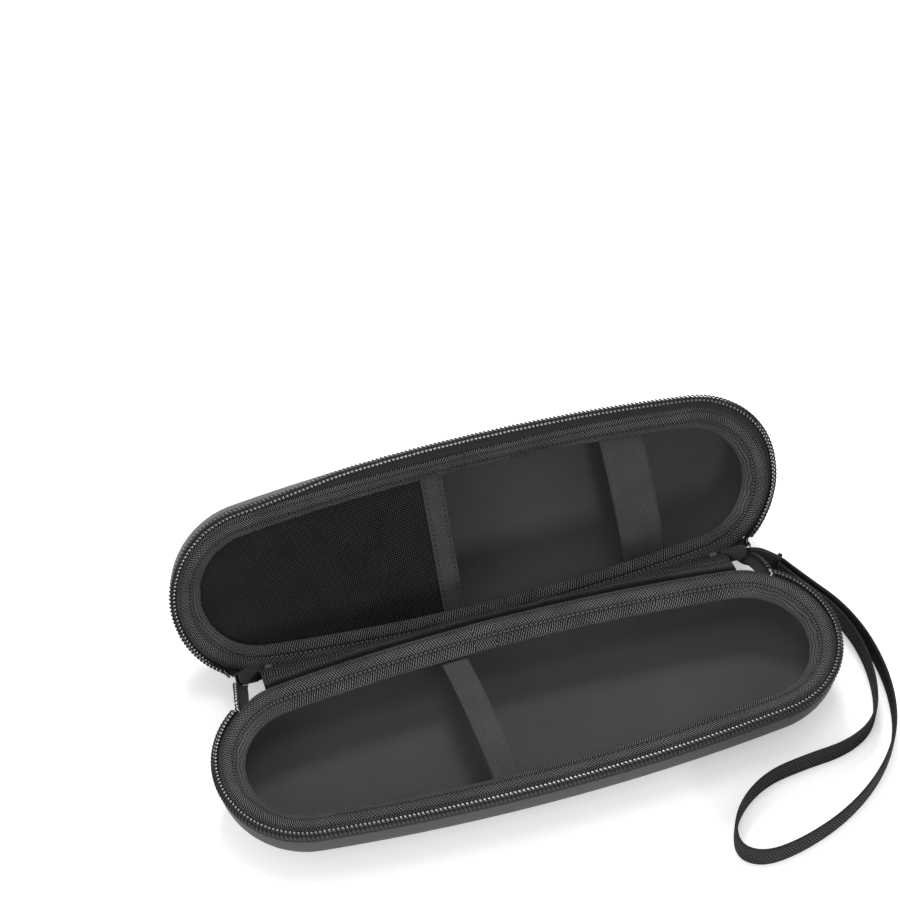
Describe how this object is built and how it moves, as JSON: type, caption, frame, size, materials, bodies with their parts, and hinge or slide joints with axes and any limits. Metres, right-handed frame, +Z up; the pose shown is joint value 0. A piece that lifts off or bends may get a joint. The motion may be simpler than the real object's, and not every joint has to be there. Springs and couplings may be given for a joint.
{
  "type": "electric toothbrush travel case",
  "caption": "Long rounded zip-up clamshell case standing open, with lined halves, elastic straps, mesh pocket, fabric hinge, zip sliders and a wrist strap",
  "frame": {"origin": "middle of the tray's flat base, on the surface the case stands on", "axes": "+X along the case, +Y towards the hinge and the lid, +Z up"},
  "size_m": [0.2625, 0.1834, 0.0754],
  "materials": {
    "shell": "smooth soft-touch film over moulded foam, matte charcoal",
    "lining": "plain brushed knit, matte charcoal",
    "binding": "herringbone woven tape, black with grey picks",
    "zip_tape": "close woven zip tape, black",
    "zip_coil": "polyester coil teeth, glossy black",
    "zip_stop": "moulded black stop",
    "elastic": "ribbed elastic, dark greenish grey",
    "mesh": "fine black net",
    "cover": "smooth soft-touch sheet, matte charcoal",
    "webbing": "flat woven webbing, black",
    "slider": "dark coated zinc",
    "ring": "plain nickel-plated oval"
  },
  "bodies": {
    "tray": {"tray_shell": "shell", "tray_lining": "lining", "tray_binding_tape": "binding", "tray_zip_tape": "zip_tape", "tray_zip_coil": "zip_coil", "tray_strap": "elastic", "spine_cover": "cover", "hinge_gusset": "binding", "tray_zip_tail_right": "zip_coil", "tray_zip_tail_left": "zip_coil", "wrist_strap": "webbing"},
    "lid": {"lid_shell": "shell", "lid_lining": "lining", "lid_binding_tape": "binding", "lid_zip_tape": "zip_tape", "lid_zip_coil": "zip_coil", "lid_strap": "elastic", "mesh_pocket": "mesh", "pocket_band": "elastic", "lid_zip_tail_right": "zip_coil", "lid_zip_tail_left": "zip_coil"},
    "zip_end_right": {"zip_stop_right": "zip_stop"},
    "zip_end_left": {"zip_stop_left": "zip_stop"},
    "strap_slider": {"strap_slider_body": "slider", "strap_slider_bail": "slider"},
    "ring_slider": {"ring_slider_body": "slider", "ring_slider_bail": "slider"},
    "strap_pull": {"strap_pull": "slider", "strap_sleeve": "webbing", "strap_tack": "webbing"},
    "ring_pull": {"ring_pull": "ring"}
  },
  "joints": [
    {"name": "lid_hinge", "type": "hinge", "parent": "tray", "child": "lid", "pos_m": [0, 0.0371, 0.01496], "axis": [1, 0, 0], "range_deg": [0, 120], "deforming": ["spine_cover", "hinge_gusset", "tray_zip_tail_right", "tray_zip_tail_left", "lid_zip_tail_right", "lid_zip_tail_left"]},
    {"name": "zip_end_right_swing", "type": "hinge", "parent": "tray", "child": "zip_end_right", "pos_m": [0, 0.03206, 0.01199], "axis": [1, 0, 0], "range_deg": [0, 60], "deforming": ["wrist_strap"]},
    {"name": "zip_end_left_swing", "type": "hinge", "parent": "tray", "child": "zip_end_left", "pos_m": [0, 0.03206, 0.01199], "axis": [1, 0, 0], "range_deg": [0, 60]},
    {"name": "strap_slider_run", "type": "hinge", "parent": "zip_end_right", "child": "strap_slider", "pos_m": [0.087, 0.03002, 0.04783], "axis": [0, -0.866, -0.5], "range_deg": [0, 8]},
    {"name": "ring_slider_run", "type": "hinge", "parent": "zip_end_left", "child": "ring_slider", "pos_m": [-0.087, 0.03002, 0.04783], "axis": [0, 0.866, 0.5], "range_deg": [0, 8]},
    {"name": "strap_pull_swing", "type": "hinge", "parent": "strap_slider", "child": "strap_pull", "pos_m": [0.10048, 0.04854, 0.01577], "axis": [0, -0.866, -0.5], "range_deg": [0, 40]},
    {"name": "ring_pull_swing", "type": "hinge", "parent": "ring_slider", "child": "ring_pull", "pos_m": [-0.10048, 0.04854, 0.01577], "axis": [0, 0.866, 0.5], "range_deg": [0, 45]}
  ],
  "couplings": [
    {"joint": "zip_end_right_swing", "follows": "lid_hinge", "ratio": 0.5},
    {"joint": "zip_end_left_swing", "follows": "lid_hinge", "ratio": 0.5}
  ]
}
